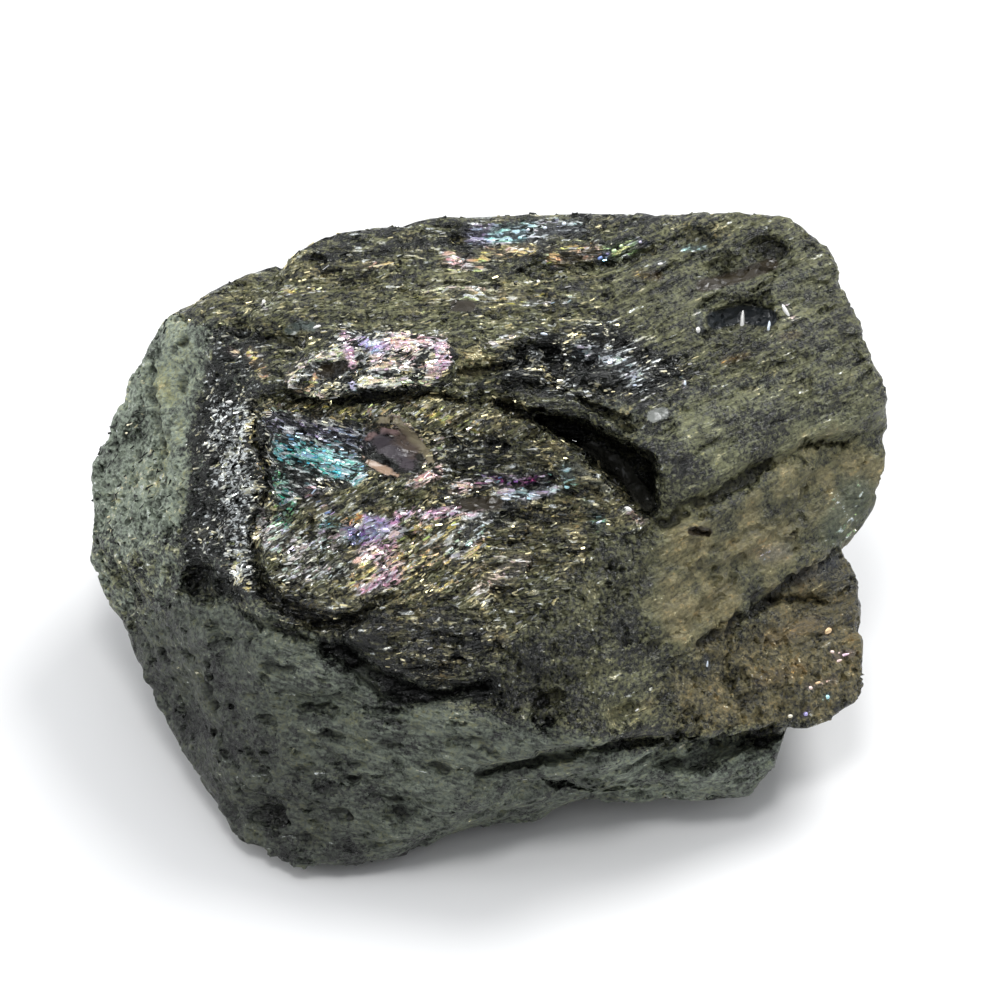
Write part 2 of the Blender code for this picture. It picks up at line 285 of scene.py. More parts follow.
# Each region is an outline in the picture, in pixels, with how much of each finish it has: dust is
# olive, brown is the share of dust that is brown, grey is a matt film, gloss is glints, pits is how
# many holes, relief is how rough the shape is, fine is how strong the fine grain is, strokes is its
# run, and the colour factor darkens below 1 and lightens above it: partly the stone's own tone and
# partly painted light and shade. A region is soft over edge pixels and covers the ones before it.
# The rest of the stone has the finish of the first line.
stoneRegions = {
    "everywhere": dict(dust=0.5, grey=0.3, gloss=0.25, pits=0.5, brown=0.3, toneAndPaintedLight=0.85, relief=1.1,
        fine=0.7, strokes=0),
    "slab": dict(edge=14, fine=0.9, dust=0.75, grey=0.15, gloss=0.43, pits=0.35, brown=0.4,
        relief=1.0, toneAndPaintedLight=0.95, outline=[
        (165, 318), (285, 255), (320, 225), (560, 200), (790, 200), (850, 262), (880, 330),
        (900, 420), (700, 385), (640, 398), (540, 395), (450, 385), (300, 350), (262, 345),
        (205, 325)]),
    "topBand": dict(edge=14, dust=0.5, grey=0.15, gloss=0.36, toneAndPaintedLight=0.95, outline=[
        (290, 255), (320, 222), (560, 200), (700, 200), (690, 250), (560, 272), (440, 262),
        (330, 272)]),
    "slabRight": dict(edge=40, dust=0.7, grey=0.45, gloss=0.2, pits=0.7, brown=0.25, relief=1.1,
        fine=0.65, toneAndPaintedLight=0.74, outline=[
        (600, 270), (700, 235), (790, 200), (860, 262), (890, 330), (900, 440), (760, 380),
        (680, 372)]),
    "slabFront": dict(edge=12, dust=0.2, grey=0.05, gloss=0.52, pits=0.3, brown=0.3, toneAndPaintedLight=0.55,
        outline=[
        (500, 352), (545, 335), (600, 328), (650, 345), (700, 372), (640, 400), (560, 392),
        (500, 385)]),
    "shadedSlab": dict(edge=10, dust=0.6, gloss=0.42, brown=0.5, toneAndPaintedLight=1.1, outline=[
        (262, 345), (300, 322), (345, 318), (350, 350), (300, 365), (280, 392), (262, 385)]),
    "foil": dict(edge=5, fine=0.8, dust=0.4, gloss=0.8, relief=1.3, brown=0.6, outline=[
        (343, 333), (364, 329), (400, 331), (429, 333), (452, 344), (455, 357), (444, 365),
        (433, 382), (417, 389), (390, 388), (360, 392), (318, 396), (291, 385), (297, 367),
        (312, 358)]),
    # painted light: the left facets are lightened by their colour factor, as if lit from the left
    "leftFacet": dict(edge=9, dust=0.3, grey=0.9, gloss=0.36, pits=1.3, brown=0.2, fine=0.55,
        toneAndPaintedLight=1.45, relief=1.7, strokes=3, outline=[
        (80, 330), (165, 310), (214, 330), (209, 357), (199, 396), (190, 453), (186, 510),
        (186, 560), (180, 605), (120, 650), (70, 560)]),
    "oliveLedge": dict(edge=16, dust=0.6, grey=0.9, gloss=0.08, pits=0.8, brown=0.15, fine=0.55,
        toneAndPaintedLight=1.45, relief=1.0, outline=[
        (150, 362), (168, 340), (205, 328), (209, 357), (199, 396), (190, 453), (187, 510),
        (176, 480), (164, 430), (152, 400)]),
    "leftFoot": dict(edge=14, dust=0.5, grey=0.6, gloss=0.25, fine=1.0, toneAndPaintedLight=1.1, relief=2.0,
        strokes=1, outline=[
        (85, 530), (140, 545), (186, 530), (186, 575), (180, 605), (120, 650), (90, 600)]),
    "strip": dict(edge=8, dust=0.15, grey=0.2, gloss=0.42, pits=0.2, brown=0.3, fine=1.0,
        toneAndPaintedLight=0.85, relief=1.3, outline=[
        (214, 330), (262, 340), (252, 400), (256, 445), (266, 475), (258, 510), (250, 535),
        (258, 590), (235, 602), (186, 565), (186, 510), (190, 453), (199, 396), (209, 357)]),
    "dashes": dict(edge=7, gloss=1.0, dust=0.05, toneAndPaintedLight=0.5, relief=0.9, outline=[
        (214, 398), (250, 400), (254, 445), (264, 478), (252, 520), (250, 560), (256, 585),
        (238, 580), (222, 540), (216, 470), (210, 430)]),
    "broadFace": dict(edge=9, dust=0.75, grey=0.03, gloss=0.56, pits=0.1, brown=0.6, fine=1.0,
        toneAndPaintedLight=0.95, relief=1.8, strokes=2, outline=[
        (258, 400), (300, 402), (400, 398), (450, 392), (500, 402), (560, 440), (610, 480),
        (650, 515), (650, 530), (600, 540), (562, 600), (520, 640), (440, 690), (380, 660),
        (330, 632), (290, 620), (262, 580), (258, 520)]),
    "quietFace": dict(edge=20, toneAndPaintedLight=0.7, gloss=0.44, outline=[
        (510, 440), (560, 440), (610, 480), (650, 520), (600, 545), (560, 600), (500, 625),
        (485, 560)]),
    "darkFolds": dict(edge=14, toneAndPaintedLight=0.78, dust=0.55, outline=[
        (428, 440), (480, 430), (540, 448), (562, 480), (560, 520), (500, 524), (440, 510),
        (430, 470)]),
    "shadedFoot": dict(edge=12, toneAndPaintedLight=0.5, gloss=0.36, dust=0.5, outline=[
        (258, 560), (290, 592), (350, 604), (420, 602), (470, 612), (500, 640), (440, 692),
        (380, 668), (330, 637), (290, 625), (255, 600)]),
    "blueFace": dict(edge=8, strokes=1, dust=0.25, relief=0.9, outline=[
        (256, 412), (364, 418), (364, 440), (358, 482), (300, 500), (262, 500)]),
    "shell": dict(edge=5, dust=0.1, gloss=0.2, relief=0.1, strokes=1, outline=[
        (362, 442), (376, 428), (400, 424), (418, 440), (426, 462), (416, 474), (394, 476),
        (366, 466)]),
    "lowerFace": dict(edge=16, dust=0.6, grey=0.15, gloss=0.22, pits=0.3, brown=0.2, fine=0.6,
        toneAndPaintedLight=0.6, relief=1.0, strokes=3, outline=[
        (655, 530), (600, 540), (562, 600), (520, 640), (470, 690), (520, 725), (640, 735),
        (700, 700), (700, 600), (670, 540)]),
    "paleFoot": dict(edge=24, toneAndPaintedLight=0.9, outline=[
        (600, 640), (690, 635), (740, 660), (720, 730), (640, 740), (600, 700)]),
    # painted shade: the band under the lip of the broad face is darkened as if in its shadow, with less
    # dust
    "lipShadeBand": dict(edge=6, dust=0.2, grey=0.3, gloss=0.2, fine=0.6, toneAndPaintedLight=0.55, outline=[
        (320, 645), (350, 638), (385, 660), (432, 686), (495, 680), (496, 694), (450, 708),
        (400, 708), (356, 686), (320, 662)]),
    "rightUpper": dict(edge=10, fine=0.6, dust=0.7, grey=0.5, gloss=0.22, pits=0.3, brown=0.15,
        relief=0.6, outline=[
        (658, 440), (690, 395), (740, 385), (900, 410), (900, 438), (800, 450), (765, 468),
        (700, 505), (662, 522)]),
    "rightFace": dict(edge=26, dust=1.0, grey=0.3, gloss=0.02, pits=0.3, brown=0.65, relief=1.0,
        fine=0.45, toneAndPaintedLight=0.78, strokes=2, outline=[
        (660, 530), (700, 505), (765, 468), (800, 450), (900, 438), (900, 520), (845, 548),
        (770, 602), (700, 648), (655, 655), (640, 600)]),
    "corner": dict(edge=16, dust=0.8, grey=0.15, gloss=0.12, pits=0.7, brown=0.85, relief=1.5,
        fine=0.6, toneAndPaintedLight=0.66, strokes=3, outline=[
        (690, 655), (770, 602), (845, 548), (880, 600), (880, 700), (790, 735), (690, 735),
        (650, 700)]),
    "darkCorner": dict(edge=16, toneAndPaintedLight=0.5, outline=[
        (770, 602), (850, 560), (880, 640), (800, 650), (765, 630)]),
    # painted shade: the lower front, most of all its left end, is darkened where it faces away from the
    # lamps
    "lowerFront": dict(edge=12, dust=0.42, grey=0.78, gloss=0.1, pits=1.0, brown=0.0, fine=0.65,
        toneAndPaintedLight=0.6, relief=1.5, strokes=1, outline=[
        (100, 650), (180, 600), (235, 607), (320, 645), (400, 702), (490, 715), (640, 750),
        (800, 730), (760, 820), (500, 850), (340, 890), (200, 870)]),
    "lowerLeft": dict(edge=40, toneAndPaintedLight=0.33, grey=0.65, relief=1.2, outline=[
        (90, 640), (170, 605), (240, 650), (330, 760), (380, 880), (200, 880)]),
    # the wedge under the lower right keeps less of the painted shade of the lower front
    "wedge": dict(edge=14, toneAndPaintedLight=0.95, outline=[
        (590, 738), (700, 728), (800, 720), (800, 760), (740, 792), (640, 800), (600, 775)]),
}
finishNames = ("dust", "grey", "gloss", "pits", "brown", "toneAndPaintedLight", "relief", "fine", "strokes")
painting = {
    "wander": ((0.45, 9), (1.3, 6)),  # how finely and by how many pixels an edge wanders
    "facing": (4, 0.6),  # how fast paint fades where the stone turns away, and where that ends
    "strokeEdge": 1.5,  # a stroke ends at this many times half its width
    "strokeSlack": 1.5,  # how far in millimetres a stroke may lie off its own place
}


def pathDistance(places, path):
    nearest = np.full(len(places), np.inf)
    for start, end in zip(path, path[1:]):
        run = np.array(end) - np.array(start)
        offset = places - np.array(start)
        share = np.clip(offset @ run / (run @ run), 0, 1)
        nearest = np.minimum(nearest, np.linalg.norm(offset - share[:, None] * run, axis=1))
    return nearest


def depthInside(spots, outline):  # pixels inside an outline, negative outside it
    closed = outline + outline[:1]
    nearest = pathDistance(spots, closed)
    inside = np.zeros(len(spots), bool)
    x, y = spots.T
    for (startX, startY), (endX, endY) in zip(closed, closed[1:]):
        across = startX + (endX - startX) * (y - startY) / ((endY - startY) or 1)
        inside ^= ((startY > y) != (endY > y)) & (x < across)
    return np.where(inside, nearest, -nearest)


def facingShare(stone):  # 1 where the stone faces the camera, 0 where it is turned away
    towards = np.array(viewDirections()[1])
    slope, shift = painting["facing"]
    return np.clip(normalsOf(stone) @ towards * slope + shift, 0, 1)


def store(stone, name, values, kind="FLOAT"):
    attribute = stone.data.attributes.get(name) or stone.data.attributes.new(name, kind, "POINT")
    channel = "value" if kind == "FLOAT" else "color"
    attribute.data.foreach_set(channel, np.ascontiguousarray(values, np.float32).ravel())


def paintRegions(stone):
    places = placesOf(stone)
    spots = pictureSpots(places)
    facing = facingShare(stone)
    ragged = np.array([sum(noise.noise(Vector(place) * fineness) * reach
                           for fineness, reach in painting["wander"]) for place in places])
    painted = {name: np.full(len(places), float(stoneRegions["everywhere"][name]))
               for name in finishNames}
    for region in stoneRegions.values():
        if "outline" not in region:
            continue
        depth = depthInside(spots, region["outline"]) + ragged
        share = np.clip(0.5 + depth / region["edge"] / 2, 0, 1) * facing
        for name in finishNames:
            if name == "strokes":
                painted[name] = np.where(share > 0.5, region.get(name, 0), painted[name])
            elif name in region:
                painted[name] += (region[name] - painted[name]) * share
    for name, values in painted.items():
        store(stone, name, values)
    print("regions painted")


# The rainbow films, with a few painted highlights among them: half the width of a stroke in pixels,
# its tint, how much of the surface it covers and its path in the picture, in pixels.
filmTints = {
    "indigo": (0.34, 0.32, 0.58), "teal": (0.24, 0.62, 0.64), "cyan": (0.52, 0.88, 0.94),
    "dullTeal": (0.22, 0.42, 0.36), "violet": (0.56, 0.51, 0.92), "paleViolet": (0.78, 0.72, 0.98),
    "dimViolet": (0.28, 0.2, 0.34), "pink": (0.98, 0.7, 0.83), "rose": (0.96, 0.74, 0.68),
    "gold": (0.92, 0.74, 0.42), "cream": (0.96, 0.9, 0.72), "oliveGold": (0.7, 0.63, 0.34),
    "silver": (0.92, 0.91, 0.88), "orange": (0.95, 0.56, 0.22), "blue": (0.3, 0.42, 0.85),
    "green": (0.66, 0.86, 0.46), "ice": (0.8, 0.88, 0.98), "amber": (0.92, 0.66, 0.38),
}
filmStrokes = [
    # the broad face
    (9, "oliveGold", 0.5, [(275, 408), (330, 412), (385, 410)]),
    (11, "indigo", 0.45, [(272, 424), (310, 430), (362, 440)]),
    (13, "teal", 0.9, [(284, 450), (320, 460), (350, 468)]),
    (9, "cyan", 0.9, [(330, 452), (348, 462), (356, 476)]),
    (10, "dullTeal", 0.6, [(280, 480), (288, 505), (282, 525)]),
    (9, "dimViolet", 0.5, [(308, 490), (325, 505), (330, 515)]),
    (5, "gold", 0.7, [(372, 424), (396, 432)]),
    (5, "cream", 0.7, [(396, 416), (412, 436), (424, 462)]),
    (4, "rose", 0.7, [(388, 418), (404, 424), (420, 440)]),
    (6, "cream", 0.7, [(440, 440), (440, 462)]), (6, "rose", 1.1, [(410, 484), (438, 473)]),
    (6, "rose", 0.9, [(454, 490), (478, 484)]), (9, "gold", 1.0, [(404, 536), (424, 530)]),
    (5, "pink", 1.4, [(398, 515), (414, 512)]),
    (5, "pink", 1.5, [(424, 516), (450, 511), (480, 507)]),
    (7, "oliveGold", 0.6, [(400, 405), (440, 415), (480, 430)]),
    (11, "teal", 0.7, [(328, 530), (350, 532)]), (11, "violet", 1.0, [(354, 532), (376, 530)]),
    (11, "paleViolet", 1.4, [(368, 526), (392, 532)]), (5, "pink", 1.4, [(394, 526), (398, 538)]),
    (4, "orange", 0.8, [(348, 521), (358, 518)]), (10, "pink", 1.4, [(368, 556), (388, 548)]),
    (9, "rose", 1.1, [(362, 563), (394, 556)]),
    (11, "gold", 0.8, [(398, 570), (440, 554), (478, 540)]),
    (7, "oliveGold", 0.6, [(404, 545), (440, 532), (480, 520)]),
    (10, "pink", 1.1, [(364, 584), (390, 576)]), (9, "gold", 0.5, [(350, 580), (366, 572)]),
    (12, "silver", 0.7, [(274, 540), (300, 548), (335, 542)]),
    (12, "silver", 0.7, [(290, 572), (335, 568)]), (7, "silver", 0.7, [(262, 512), (266, 538)]),
    (6, "dimViolet", 0.8, [(480, 478), (520, 482), (548, 478)]),
    (5, "ice", 1.3, [(502, 494), (528, 495), (553, 490)]),
    (9, "rose", 0.5, [(480, 590), (500, 574), (524, 562)]),
    (9, "ice", 0.4, [(455, 548), (480, 522), (500, 512)]),
    (8, "gold", 0.4, [(430, 590), (470, 572), (500, 552)]),
    (6, "cyan", 0.6, [(566, 468), (570, 484)]), (8, "dullTeal", 0.5, [(585, 500), (600, 525)]),
    (4, "silver", 1.0, [(627, 508), (630, 510)]), (5, "rose", 0.7, [(632, 515), (642, 521)]),
    # the strip
    (6, "gold", 1.0, [(250, 352), (264, 374)]), (4, "rose", 0.7, [(230, 350), (236, 354)]),
    (4, "gold", 0.6, [(258, 466), (264, 474)]),
    # the foil and the front of the slab
    (5, "cream", 1.0, [(289, 381), (294, 370), (308, 360), (325, 355), (337, 353)]),
    (4, "cream", 1.0, [(292, 386), (303, 393), (318, 395), (340, 395)]),
    (4, "gold", 0.9, [(300, 388), (312, 384), (316, 374)]),
    (5, "pink", 0.9, [(345, 335), (350, 350), (352, 366)]),
    (7, "paleViolet", 0.8, [(362, 342), (384, 352)]), (8, "rose", 0.8, [(390, 340), (424, 344)]),
    (8, "pink", 0.8, [(438, 342), (446, 356), (434, 372)]),
    (6, "rose", 0.6, [(400, 360), (428, 366)]), (3.5, "paleViolet", 1.0, [(351, 383), (353, 389)]),
    (6, "cream", 0.8, [(366, 382), (396, 384), (428, 382)]),
    (8, "rose", 0.6, [(376, 366), (410, 360)]), (3, "silver", 0.9, [(261, 300), (266, 310)]),
    # the top of the slab
    (4, "gold", 0.6, [(352, 266), (396, 263)]), (4, "oliveGold", 0.7, [(278, 293), (320, 290)]),
    (13, "indigo", 1.0, [(478, 236), (502, 240)]), (11, "cyan", 1.1, [(502, 238), (530, 232)]),
    (7, "ice", 0.9, [(536, 240), (548, 228), (580, 226)]),
    (6, "gold", 1.0, [(486, 253), (532, 250)]), (7, "oliveGold", 0.9, [(446, 264), (482, 263)]),
    (7, "rose", 0.9, [(448, 258), (466, 262)]), (4, "ice", 0.7, [(558, 222), (568, 230)]),
    (4, "green", 0.7, [(568, 244), (594, 244)]), (9, "green", 1.1, [(604, 254), (634, 247)]),
    (4, "blue", 1.0, [(596, 259), (606, 255)]), (3, "blue", 0.7, [(638, 240), (646, 244)]),
    (3, "blue", 0.8, [(548, 259), (553, 266)]), (9, "oliveGold", 1.0, [(556, 254), (592, 252)]),
    (5, "amber", 0.6, [(560, 262), (596, 248)]), (3, "paleViolet", 0.8, [(638, 241), (642, 245)]),
    (4, "cream", 0.7, [(425, 290), (465, 289), (502, 293)]),
    (5, "oliveGold", 0.5, [(430, 300), (500, 298), (540, 300)]),
    (3, "ice", 0.6, [(530, 304), (570, 300)]), (3, "cyan", 0.8, [(683, 249), (706, 247)]),
    (4, "cream", 0.8, [(487, 346), (515, 334)]), (3, "ice", 0.8, [(655, 264), (665, 262)]),
    (5, "orange", 0.5, [(637, 274), (658, 276)]), (4, "orange", 0.6, [(724, 362), (747, 355)]),
    # painted reflections: the thin silver and ice lines on the glassy hollow stand for a lamp seen in
    # it
    (4, "orange", 0.5, [(783, 337), (798, 334)]), (1.5, "silver", 1.0, [(742, 309), (743, 341)]),
    (1.5, "silver", 0.9, [(769, 320), (770, 336)]), (2, "silver", 0.9, [(785, 303), (793, 320)]),
    (3, "ice", 0.7, [(698, 312), (701, 332)]), (3, "silver", 0.8, [(683, 376), (685, 390)]),
    (9, "ice", 0.5, [(580, 350), (620, 360), (640, 384)]),
    # the right face and its corner
    (8, "blue", 0.35, [(765, 556), (785, 550)]), (7, "blue", 0.35, [(800, 578), (836, 560)]),
    (20, "dullTeal", 0.8, [(856, 495), (838, 530)]), (4, "pink", 0.6, [(836, 656), (852, 653)]),
    (4, "rose", 0.6, [(808, 686), (834, 680)]), (3, "orange", 1.0, [(824, 632), (830, 630)]),
    (3, "cyan", 0.9, [(825, 697), (829, 697)]), (3, "violet", 0.9, [(803, 715), (809, 713)]),
    (3, "ice", 0.8, [(706, 656), (708, 669)]), (8, "orange", 0.35, [(770, 640), (815, 622)]),
    (8, "orange", 0.35, [(760, 680), (800, 668)]),
]
# Smooth spots of a plain colour, given in the same way. The pale crackWall is painted light on the wall
# of the deep crack.
plainTints = {
    "shell": (0.09, 0.076, 0.088), "shellBrown": (0.12, 0.088, 0.07), "lens": (0.4, 0.28, 0.2),
    "rim": (0.3, 0.26, 0.17), "rimRose": (0.3, 0.2, 0.19), "crackWall": (0.2, 0.2, 0.165),
    "chip": (0.19, 0.2, 0.185), "glass": (0.02, 0.024, 0.027), "greenGlass": (0.07, 0.09, 0.08),
    "brownGlass": (0.035, 0.028, 0.018), "blackGlass": (0.004, 0.004, 0.004),
    "grey": (0.13, 0.14, 0.12),
}
plainSpots = [
    (12, "shell", 0.62, [(380, 442), (398, 452), (408, 462)]),
    (6, "shellBrown", 0.6, [(400, 436), (414, 450)]), (2, "lens", 1.0, [(363, 458), (397, 475)]),
    (3.6, "lens", 1.0, [(370, 463), (388, 472)]),
    (4, "rim", 0.8, [(378, 420), (396, 420), (412, 434), (426, 452), (431, 462)]),
    (3, "rimRose", 0.7, [(366, 438), (380, 430), (396, 432)]),
    (7, "chip", 0.8, [(653, 416), (663, 413)]),
    (9, "glass", 1.0, [(716, 320), (742, 314), (768, 318)]),
    (8, "greenGlass", 0.55, [(290, 330), (302, 325), (313, 327)]),
    (6, "brownGlass", 0.9, [(455, 306), (470, 306)]), (7, "grey", 0.5, [(575, 466), (604, 488)]),
    # painted light: the wall inside the deep crack is paler against its painted shade
    (9, "crackWall", 0.8, [(588, 448), (622, 468), (646, 502)]),
    (8, "brownGlass", 0.8, [(462, 505), (496, 503)]),
    (7, "blackGlass", 0.5, [(446, 463), (474, 462)]),
    (8, "brownGlass", 0.7, [(702, 286), (740, 276), (772, 264)]),
    (8, "brownGlass", 0.8, [(322, 372), (340, 368)]),
    (5, "brownGlass", 0.8, [(692, 531), (708, 532)]),
]


def paintStrokes(stone, tree, strokes, tints, name):
    places = placesOf(stone)
    spots = pictureSpots(places)
    cover = np.zeros(len(places))
    tint = np.zeros((len(places), 4))
    tint[:, 3] = 1
    edge = painting["strokeEdge"]
    for half, colour, amount, path in strokes:
        reach = half * edge / cameraView["pixelsPerMillimetre"] + painting["strokeSlack"]
        hits = [seenAt(tree, *spot) for spot in path]
        near = np.clip(2 - pathDistance(places, hits) / reach, 0, 1)
        share = np.clip(edge - pathDistance(spots, path) / half, 0, 1) * near
        tint[:, :3] += (np.array(tints[colour]) - tint[:, :3]) * np.clip(share * 2, 0, 1)[:, None]
        cover += (amount - cover) * share
    store(stone, name + "Cover", cover)
    store(stone, name + "Tint", tint, "FLOAT_COLOR")
    print(name, "painted")


# Heights, widths, lengths, depths, steps, grit and limit are in millimetres.
relief = {
    "Rib Height": 0.2,
    "Rib Width": 1.5,
    "Rib Length": 8.0,
    "Rib Sharpness": 5.0,
    "Chip Slope": 0.36,
    "Chip Step": 0.10,
    "Flake Slope": 0.35,
    "Flake Step": 0.04,
    "Pit Depth": 0.35,
    "Pit Width": 0.9,
    "Pit Stretch": 3.4,  # a pit's length is this many times its width
    "Pit Size": 0.2,  # half the width of a small pit as a share of its cell
    "Pit Spread": 0.2,  # how much larger a pit can be
    "Pit Wall": 0.12,
    "Pit Share": 0.6,  # how much the painted pits add to a cell's chance of a pit
    "Pit Wander": 1.2,
    "Grit": 0.045,
    "Spike Limit": 0.08,
}
# The size of each pattern in millimetres, along and across the grain, and its shift. A noise has its
# detail and its roughness between them.
reliefPatterns = {
    "ribs": (2.5, 0.55),  # only detail and roughness
    "chips": ((3.6, 1.7, 1.7), 7.3),
    "flakes": ((1.5, 0.75, 0.75), 3.1),
    "ragged": ((0.9, 0.5, 0.5), 2.0, 0.6, 6.6),
    "grit": (0.8, 3.0, 0.65, 5.1),
    "pitShift": 2.9,
    "spikeSlope": 0.35,  # above the spike limit the height grows at this rate only
}
# How much of each form there is on dull stone, and how much more where it is all gloss.
glossyRelief = {"ribs": (0.45, 0.5), "chips": (0.55, 0.6), "flakes": (0.45, 1.0)}


def openTree(name, sizes):
    tree = bpy.data.node_groups.new(name, "GeometryNodeTree")
    tree.interface.new_socket(name="Geometry", in_out="INPUT", socket_type="NodeSocketGeometry")
    tree.interface.new_socket(name="Geometry", in_out="OUTPUT", socket_type="NodeSocketGeometry")
    for label, value in sizes.items():
        kind = "NodeSocketInt" if isinstance(value, int) else "NodeSocketFloat"
        socket = tree.interface.new_socket(name=label, in_out="INPUT", socket_type=kind)
        socket.default_value = value
    graph = Graph(tree)
    entry = tree.nodes.new("NodeGroupInput")
    wires = {output.name: Wire(graph, output) for output in entry.outputs if output.name}
    return graph, wires


def closeTree(graph, geometry, material):
    real = graph.node("GeometryNodeRealizeInstances", {}, {0: geometry})
    dressed = graph.node("GeometryNodeSetMaterial", {}, {0: real, "Material": material})
    graph.wires("NodeGroupOutput", {}, {0: dressed}, ())


def runTree(thing, graph, sizes):
    modifier = thing.modifiers.new("tree", "NODES")
    modifier.node_group = graph.tree
    for socket in graph.tree.interface.items_tree:
        if socket.in_out == "INPUT" and socket.name in sizes:
            modifier[socket.identifier] = sizes[socket.name]
    bpy.context.view_layer.update()
    plainMesh(thing)


def attributeIn(graph, name):
    return graph.node("GeometryNodeInputNamedAttribute", {"data_type": "FLOAT"}, {"Name": name},
                      "Attribute")


def keepValue(graph, geometry, name, value, domain):
    return graph.node("GeometryNodeStoreNamedAttribute", {"data_type": "FLOAT", "domain": domain},
                      {"Geometry": geometry, "Name": name, "Value": value})


def brokenFaces(graph, grain, pattern, slope, step, part):  # each leans its own way
    chance, offset = graph.cells(grain, *reliefPatterns[pattern])[:2]
    return graph.dot(chance - 0.5, offset) * slope + (graph.parts(chance)[part] - 0.5) * step


def addRelief(stone, material):
    graph, size = openTree("stoneRelief", relief)
    place = graph.node("GeometryNodeInputPosition", {}, {}) * perMetre
    normal = graph.node("GeometryNodeInputNormal", {}, {})
    strokes, gloss, pits, rough = (attributeIn(graph, name)
                                   for name in ("strokes", "gloss", "pits", "relief"))
    share = {name: dull + gloss * more for name, (dull, more) in glossyRelief.items()}
    grain = alongGrain(graph, place, strokes)
    ribSize = graph.vector(size["Rib Length"], size["Rib Width"], size["Rib Width"])
    ribs = graph.grain(grain, ribSize, *reliefPatterns["ribs"])
    crest = 1.0 - graph.sum("ABSOLUTE", ribs - 0.5) * size["Rib Sharpness"]
    chips = brokenFaces(graph, grain, "chips", size["Chip Slope"], size["Chip Step"], 0)
    flakes = brokenFaces(graph, grain, "flakes", size["Flake Slope"], size["Flake Step"], 1)
    ragged = grain + (graph.grain(grain, *reliefPatterns["ragged"]) - 0.5) * size["Pit Wander"]
    pitSize = graph.vector(size["Pit Width"] * size["Pit Stretch"], size["Pit Width"],
                           size["Pit Width"])
    odds, _, distance = graph.cells(ragged, pitSize, reliefPatterns["pitShift"])
    _, odd, wider = graph.parts(odds)
    chosen = graph.rise(odd + pits * size["Pit Share"], 1.0, 1.1)
    reach = size["Pit Size"] + wider * size["Pit Spread"]
    pit = graph.rise(reach - distance, 0.0, size["Pit Wall"]) * chosen
    grit = (graph.grain(place, *reliefPatterns["grit"]) - 0.5) * size["Grit"] * 2.0
    height = crest * size["Rib Height"] * share["ribs"]
    height = (height + chips * share["chips"] + flakes * share["flakes"]) * rough + grit
    slope = reliefPatterns["spikeSlope"]
    pressed = height * slope + size["Spike Limit"] * (1 - slope)
    height = graph.sum("MINIMUM", height, pressed) - pit * size["Pit Depth"]
    moved = graph.node("GeometryNodeSetPosition", {}, {
        "Geometry": size["Geometry"], "Offset": normal * (height * milli)})
    # the pits are kept as hole, which the material darkens as painted shade
    closeTree(graph, keepValue(graph, moved, "hole", pit, "POINT"), material)
    runTree(stone, graph, relief)
    print("relief", len(stone.data.vertices), "vertices")


# Cracks are lines in the picture, in pixels, with a width and a depth in millimetres.
stoneCracks = [
    ([(157, 350), (150, 385), (157, 415), (161, 440), (158, 470), (150, 500)], 0.6, 0.45),
    ([(690, 620), (730, 585), (760, 548), (800, 520)], 0.6, 0.3),
    ([(690, 570), (740, 545), (790, 505)], 0.5, 0.25),
    ([(255, 336), (280, 341), (304, 343)], 0.5, 0.5),
    ([(640, 535), (662, 527), (700, 503), (735, 482), (765, 466)], 0.5, 0.5),
    ([(700, 646), (735, 622), (770, 600), (805, 574), (840, 548)], 0.7, 0.6),
    ([(550, 274), (594, 268), (630, 261), (650, 249)], 0.4, 0.4),
]
